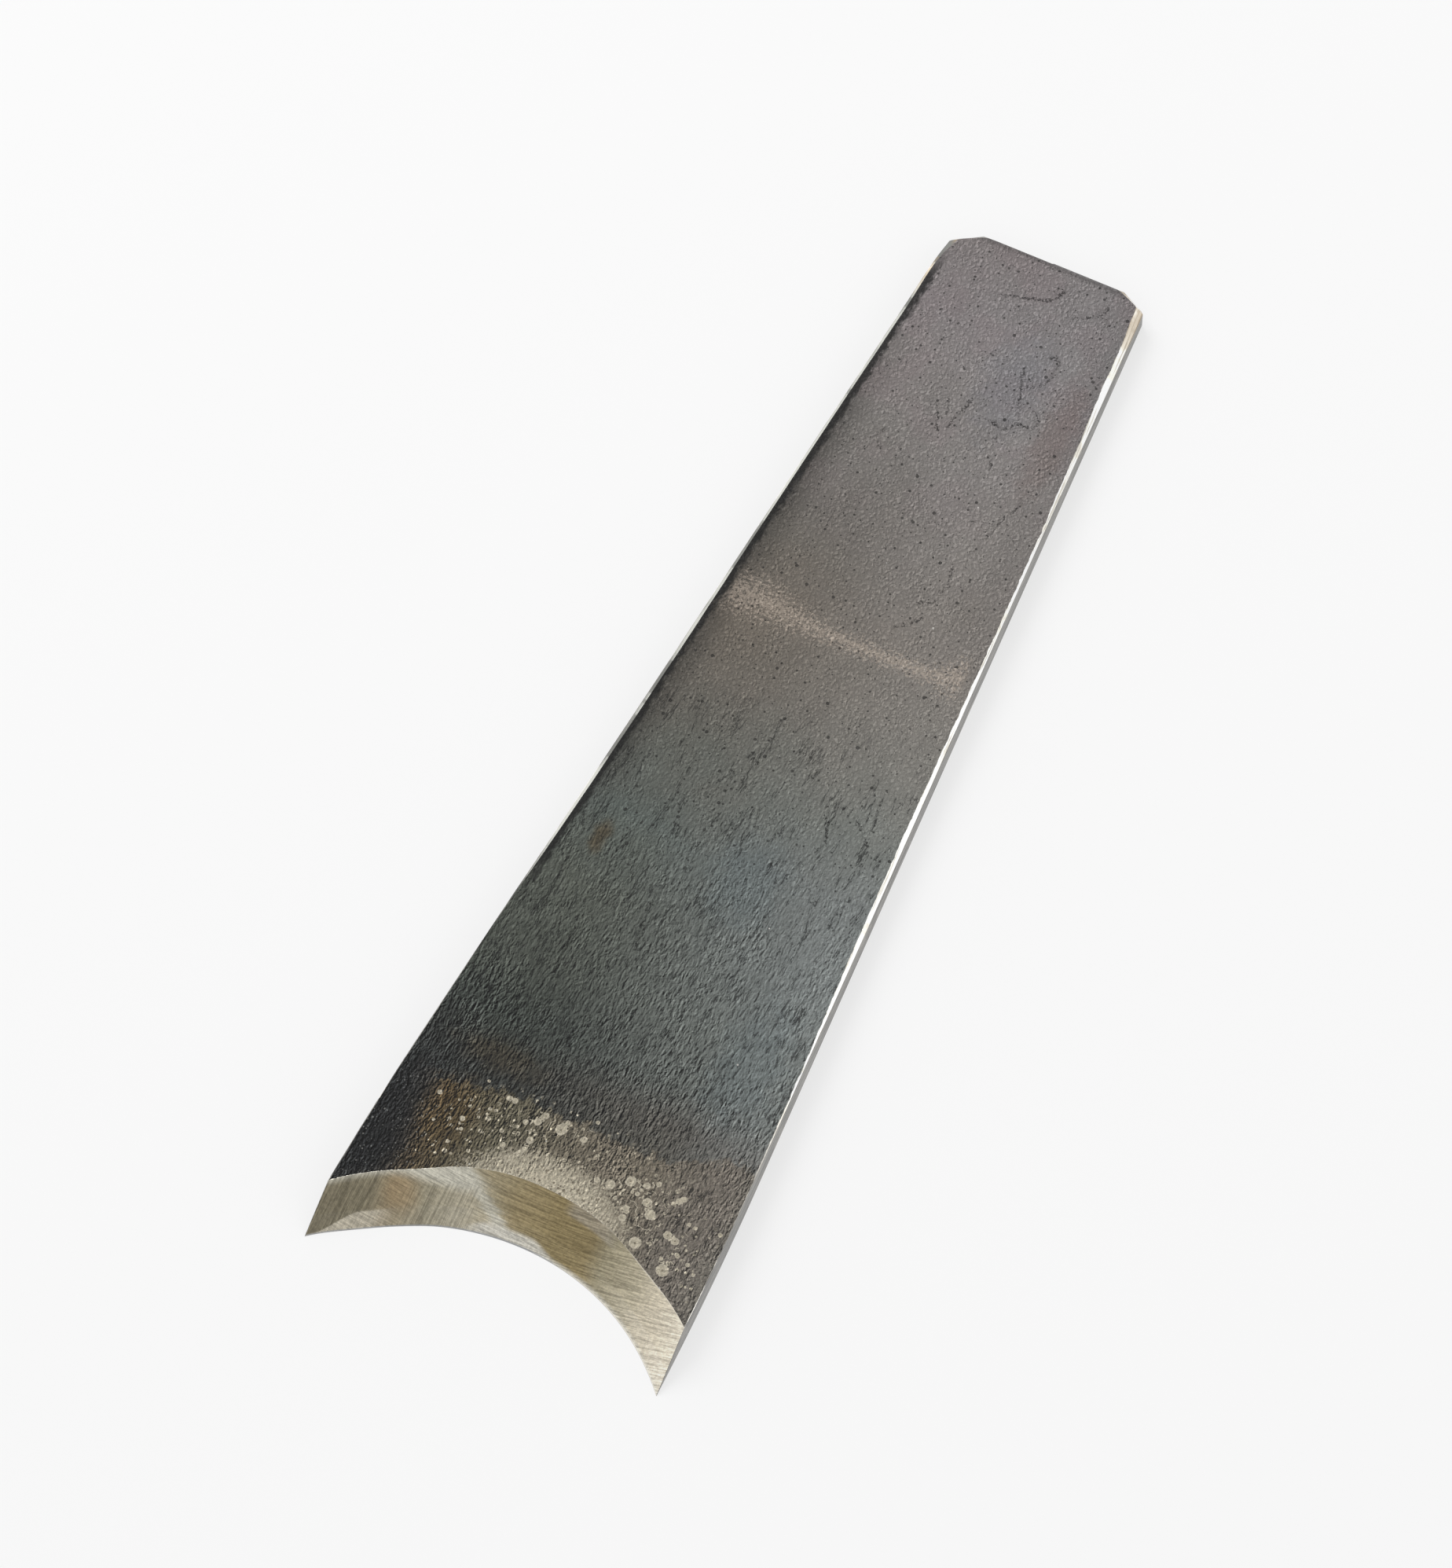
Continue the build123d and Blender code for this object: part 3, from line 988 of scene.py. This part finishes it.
def pale_band(finish):
    """The pale band of flecks across the blade over the end of the facing, wider at both sides."""
    math, both, rise = finish.math, finish.both, finish.rise
    bent = math("ADD", finish.along, math("MULTIPLY", finish.x, -0.02))
    ends = finish.either(rise(finish.x, -1.0, -8.5), rise(finish.x, 7.0, 9.5))
    away = math("ABSOLUTE", math("SUBTRACT", bent, finish.blend(ends, 61.7, 62.3)))
    dense = math("SUBTRACT", 1.0, math("DIVIDE", away, finish.blend(ends, 0.9, 2.3)))
    flecks = finish.noise((3.0, 4.2, 0.0), 4.0, 0.78, seed=72.0)
    return both(rise(math("ADD", dense, math("MULTIPLY_ADD", flecks, 8.0, -4.0)), 0.25, 0.95),
                rise(away, 3.2, 1.5), rise(finish.mark("from_side"), 0.6, 1.4))


def pale_marks(finish, colour, ragged_fine, frayed):
    """Lays the crescent, the band and the dried drops over a colour, and says where it is smooth."""
    look = bpy.context.scene.plane_iron_finish
    math, both, either, rise = finish.math, finish.both, finish.either, finish.rise
    past_bevel = finish.mark("past_bevel")
    speckle = rise(finish.noise((4.0, 4.0, 0.0), 4.0, 0.75, seed=71.0), 0.40, 0.60)
    crescent = crescent_shape(finish, speckle)
    holes = finish.dots((2.2, 0.13, 0.50, 76.0), (3.6, 0.09, 0.45, 77.0))
    drop = finish.add("ShaderNodeAttribute", attribute_name="drop").outputs["Vector"]
    from_middle_x, from_middle_y, radius = finish.add("ShaderNodeSeparateXYZ", {0: drop}).outputs
    share = math("DIVIDE", finish.length(from_middle_x, from_middle_y), radius)
    share = math("ADD", share, math("MULTIPLY_ADD", ragged_fine, 0.6, -0.3))
    drops = rise(share, 1.04, 0.94)
    core_noise = finish.noise((1.1, 1.1, 0.0), 1.0, seed=78.0)
    spattered = both(
        rise(past_bevel, 8.0, 5.5), rise(past_bevel, 0.8, 1.6), rise(finish.along, 17.5, 16.5),
        rise(math("ADD", both(frayed, 3.0), finish.band(finish.x, 2.0, 10.0, 3.5)), 0.55, 0.75))
    small_drops = both(finish.dots((1.1, 0.22, 0.45, 73.0), (2.0, 0.15, 0.42, 74.0)), spattered, 0.85)
    pale = finish.brighten(look.stain_colour, math("MULTIPLY_ADD", speckle, 0.42, 0.80))
    colour = finish.coats(
        colour,
        (crescent, pale),
        (crescent, holes, 0.75, tone(84, 74, 58)),
        (pale_band(finish), 0.48, tone(196, 181, 166)),
        (either(drops, small_drops), 0.88, pale),
        (finish.band(share, 0.86, 0.06, 0.12), 0.3, tone(214, 206, 188)),
        (rise(share, 0.22, 0.12), rise(core_noise, 0.5, 0.52), 0.7, tone(92, 84, 68)))
    return colour, either(crescent, drops)


def forged_iron():
    """Black forge scale over iron, with bare ground metal on the bevel, arrises and sides."""
    look = bpy.context.scene.plane_iron_finish
    finish = Finish("scaled_iron")
    math, both, either, rise = finish.math, finish.both, finish.either, finish.rise
    x, along = finish.x, finish.along
    from_side = finish.mark("from_side")
    past_bevel = finish.mark("past_bevel")
    ragged = finish.noise((2.2, 0.9, 0.0), 4.0, 0.65, seed=31.0)
    ragged_fine = finish.noise((5.0, 5.0, 0.0), 3.0, 0.6, seed=32.0)
    frayed = math("SUBTRACT", finish.noise((0.7, 0.7, 0.0), 4.0, 0.6, seed=62.0), 0.5)

    # Where the scale is still on: the upper face, inside the bevel and the arrises, and the back
    inside_bevel = math("ADD", past_bevel, math("MULTIPLY_ADD", ragged_fine, 0.16, -0.09))
    chipped = both(math("MULTIPLY_ADD", ragged, 0.26, -0.13), rise(x, -3.0, 3.0))
    inside_arris = math("ADD", finish.mark("past_arris"), chipped)
    on_top = rise(finish.z, THICKNESS / MM - 0.62, THICKNESS / MM - 0.5)
    scaled = either(both(rise(inside_bevel, -0.012, 0.012), rise(inside_arris, -0.015, 0.015), on_top,
                         rise(from_side, 0.02, 0.06)), rise(finish.z, 0.03, 0.01))

    # Its colours: the heat, the grain with its painted light and shade, and the pale marks
    ridges, crumbs, grain, ridged, shade = scale_grain(finish)
    pits, splits, cracks = scale_breaks(finish, ragged)
    # painted shade in the grooves between the ridges and in the fine splits
    fissure_shade = either(both(rise(ridges, 0.44, 0.38), rise(along, 50.0, 24.0)), splits)
    colour = finish.coats(heat_colours(finish, frayed), (fissure_shade, 0.72, tone(21, 22, 23)))
    colour, smooth = pale_marks(finish, colour, ragged_fine, frayed)
    colour = finish.brighten(colour, finish.blend(both(smooth, 0.72), shade, 1.0))

    # Flecks by the left tip, painted shade on the rolled left side, a darker head end, pits, painted
    # shadow in the cracks and bright specks
    flecked = both(finish.dots((2.0, 0.08, 0.12, 81.0), (4.0, 0.06, 0.22, 82.0)),
                   rise(finish.patch(-12.4, 10.0, 4.0, 8.0, frayed), 0.1, 0.5))
    # painted shade: the rolled strip along the left side is painted near black where it turns away from
    # the light
    rolled = both(
        rise(math("ADD", from_side, math("MULTIPLY_ADD", ragged, 1.4, -0.7)), 1.05, 0.52),
        rise(x, 0.0, -1.0), rise(along, 29.0, 36.0), rise(along, 98.0, 94.0), on_top)
    head_dark = rise(math("ADD", along, math("MULTIPLY", ragged, 0.6)), 99.3, 99.9)
    colour = finish.coats(
        colour,
        (flecked, 0.6, tone(150, 150, 146)),
        (either(rolled, both(head_dark, 0.5)), 0.92, tone(22, 22, 21)),
        (pits, 0.75, tone(30, 29, 28)),
        # painted shadow in the gaps of the flake cracks
        (cracks, 0.80, tone(30, 29, 29)),
        (finish.dots((0.7, 0.08, 0.03, 75.0)), 0.7, tone(222, 220, 214)))

    # Bare metal everywhere else
    bevel_colour, bevel_roughness, scratches = ground_metal(finish)
    side_colour, side_lines = side_metal(finish)
    on_bevel = both(rise(past_bevel, 0.03, -0.03), rise(from_side, 0.01, 0.05))
    bare = finish.brighten(finish.mix(on_bevel, side_colour, bevel_colour), look.steel_light)
    height = math("ADD", both(grain, finish.blend(ridged, 0.5, 1.0)),
                  math("MULTIPLY", either(pits, cracks), -0.8))
    normal = finish.add("ShaderNodeMix", data_type="VECTOR")
    finish.feed(normal.inputs[0], scaled)
    finish.feed(normal.inputs[4], finish.bump(finish.blend(on_bevel, side_lines, scratches),
                                              SCRATCH_DEPTH))
    finish.feed(normal.inputs[5], finish.bump(height, GRAIN_DEPTH))
    return finish.finish(
        Base_Color=finish.mix(scaled, weld_seam(finish, bare), colour),
        Roughness=finish.blend(scaled, finish.blend(on_bevel, 0.34, bevel_roughness),
                               math("MULTIPLY_ADD", crumbs, 0.16, look.scale_gloss - 0.08)),
        Normal=normal.outputs[1], Specular_IOR_Level=0.22, Metallic=math("SUBTRACT", 1.0, scaled))


def edge_steel():
    """The hard steel facing: the strip of bevel next to the edge, its sides and the flat back."""
    look = bpy.context.scene.plane_iron_finish
    finish = Finish("edge_steel")
    both, rise = finish.both, finish.rise
    bevel_colour, bevel_roughness, scratches = ground_metal(finish)
    side_colour, side_lines = side_metal(finish)
    on_bevel = both(rise(finish.z, 0.004, 0.012), rise(finish.mark("from_side"), 0.01, 0.05))
    lighter = finish.brighten(bevel_colour, 1.06)
    cooler = finish.mix(0.25, lighter, finish.mix(1.0, lighter, tone(240, 244, 255), "MULTIPLY"))
    stone = finish.noise((0.15, 7.0, 1.0), 3.0, 0.6, seed=91.0)
    back = finish.mix(rise(stone, 0.35, 0.65), tone(142, 140, 136), tone(186, 183, 177))
    on_back = rise(finish.z, 0.012, 0.004)
    colour = finish.coats(side_colour, (on_back, back), (on_bevel, cooler))
    height = finish.blend(on_bevel, finish.blend(on_back, side_lines, stone), scratches)
    return finish.finish(
        Base_Color=weld_seam(finish, finish.brighten(colour, look.steel_light)), Metallic=1.0,
        Normal=finish.bump(height, SCRATCH_DEPTH),
        Roughness=finish.blend(on_bevel, 0.33, bevel_roughness))


def finish_piece(name, operation, node, material):
    """Cuts one piece of the blade from a blank and gives it its finish and its place in the frame."""
    piece = cut_piece(name, operation)
    mark_places(piece)
    piece.data.materials.clear()
    piece.data.materials.append(material)
    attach(piece, "root")
    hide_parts(node)


class PLANEIRON_OT_iron_body(bpy.types.Operator):
    """Model the soft iron body, with its forge scale, bevel, arrises and sides"""

    bl_idname = "plane_iron.iron_body"
    bl_label = "Iron body"
    bl_options = {"REGISTER", "UNDO"}

    def execute(self, context):
        finish_piece("forged_iron", "DIFFERENCE", "soft_iron_body", forged_iron())
        return {"FINISHED"}


class PLANEIRON_OT_steel_facing(bpy.types.Operator):
    """Model the hard steel facing, from the cutting edge to its scarfed end"""

    bl_idname = "plane_iron.steel_facing"
    bl_label = "Steel facing"
    bl_options = {"REGISTER", "UNDO"}

    def execute(self, context):
        finish_piece("steel_facing", "INTERSECT", "hard_steel_facing", edge_steel())
        return {"FINISHED"}


def add_floor(light):
    """A sheet of pale, softly glowing paper under the blade."""
    deselect_all()
    bpy.ops.mesh.primitive_plane_add(size=FLOOR_SIZE, location=(0, 0, -FLOOR_GAP))
    floor = bpy.context.object
    floor.name = "floor"
    paper = bpy.data.materials.new("paper")
    paper.use_nodes = True
    shader = paper.node_tree.nodes["Principled BSDF"]
    for socket, value in (
        ("Base Color", (0.30, 0.30, 0.30, 1)), ("Roughness", 0.9), ("Specular IOR Level", 0.1),
        ("Emission Color", (1, 1, 1, 1)), ("Emission Strength", light.floor_glow),
    ):
        shader.inputs[socket].default_value = value
    floor.data.materials.append(paper)


def add_surroundings(light):
    """A pale room: bright near the horizon, darker overhead."""
    world = bpy.data.worlds.new("studio")
    bpy.context.scene.world = world
    world.use_nodes = True
    nodes, links = world.node_tree.nodes, world.node_tree.links
    place = nodes.new("ShaderNodeTexCoord")
    parts = nodes.new("ShaderNodeSeparateXYZ")
    height = nodes.new("ShaderNodeMapRange")
    height.inputs["From Min"].default_value = 0.05
    height.inputs["From Max"].default_value = 0.95
    height.inputs["To Min"].default_value = light.sky_side
    height.inputs["To Max"].default_value = light.sky_top
    links.new(place.outputs["Generated"], parts.inputs[0])
    links.new(parts.outputs[2], height.inputs[0])
    links.new(height.outputs[0], nodes["Background"].inputs["Strength"])
    nodes["Background"].inputs["Color"].default_value = (1, 1, 1, 1)


def add_lamp(name, place, power):
    """A soft square lamp at a place, turned to the blade."""
    lamp = bpy.data.lights.new(name, "AREA")
    lamp.size = LAMP_SIZE
    lamp.energy = power
    holder = bpy.data.objects.new(name, lamp)
    bpy.context.scene.collection.objects.link(holder)
    holder.location = place
    holder.rotation_euler = (-Vector(place)).to_track_quat("-Z", "Y").to_euler()


def add_camera():
    """A camera high over the blade, in front of its cutting edge and to the right."""
    camera = bpy.data.objects.new("camera", bpy.data.cameras.new("camera"))
    bpy.context.scene.collection.objects.link(camera)
    turn = Euler((radians(90 - CAMERA_HEIGHT), 0, radians(CAMERA_TURN))).to_matrix()
    camera.location = Vector(CAMERA_AIM) * MM + turn @ Vector((0, 0, CAMERA_DISTANCE)) * MM
    camera.rotation_euler = (turn @ Matrix.Rotation(radians(CAMERA_ROLL), 3, "Z")).to_euler()
    camera.data.lens = CAMERA_LENS
    camera.data.sensor_width = 36.0
    camera.data.clip_start = 0.01
    bpy.context.scene.camera = camera


class PLANEIRON_OT_stage(bpy.types.Operator):
    """Set up the pale floor, the soft light and the camera"""

    bl_idname = "plane_iron.stage"
    bl_label = "Stage"
    bl_options = {"REGISTER", "UNDO"}

    def execute(self, context):
        light = context.scene.plane_iron_light
        add_floor(light)
        add_surroundings(light)
        add_lamp("key", (-0.42, 0.26, 0.46), light.key_power)
        add_lamp("side", (0.55, 0.10, 0.28), light.fill_power)
        add_camera()
        context.scene.view_settings.view_transform = "Standard"
        return {"FINISHED"}


class PLANEIRON_PT_panel(bpy.types.Panel):
    """Sizes, finish and light of the plane iron"""

    bl_idname = "PLANEIRON_PT_panel"
    bl_label = "Hollow plane iron"
    bl_space_type = "VIEW_3D"
    bl_region_type = "UI"
    bl_category = "Plane Iron"

    def draw(self, context):
        column = self.layout.column()
        for name, group in SETTINGS.items():
            column.label(text=group.bl_rna.name)
            for setting in group.__annotations__:
                column.prop(getattr(context.scene, name), setting)
        for operator in OPERATORS:
            column.operator(operator.bl_idname)


SETTINGS = {"plane_iron_sizes": BladeSizes, "plane_iron_finish": BladeFinish,
            "plane_iron_light": StudioLight}
OPERATORS = (PLANEIRON_OT_stage, PLANEIRON_OT_iron_body, PLANEIRON_OT_steel_facing)
CLASSES = (*SETTINGS.values(), *OPERATORS, PLANEIRON_PT_panel)


def register():
    """Adds the classes and the scene's settings."""
    for kind in CLASSES:
        bpy.utils.register_class(kind)
    for name, group in SETTINGS.items():
        setattr(bpy.types.Scene, name, PointerProperty(type=group))


def unregister():
    """Takes the classes and settings away again."""
    for name in SETTINGS:
        delattr(bpy.types.Scene, name)
    for kind in reversed(CLASSES):
        bpy.utils.unregister_class(kind)


def main():
    """Builds the blade and its stage."""
    register()
    bpy.ops.plane_iron.stage()
    bpy.ops.plane_iron.iron_body()
    bpy.ops.plane_iron.steel_facing()


if __name__ == "__main__":
    main()
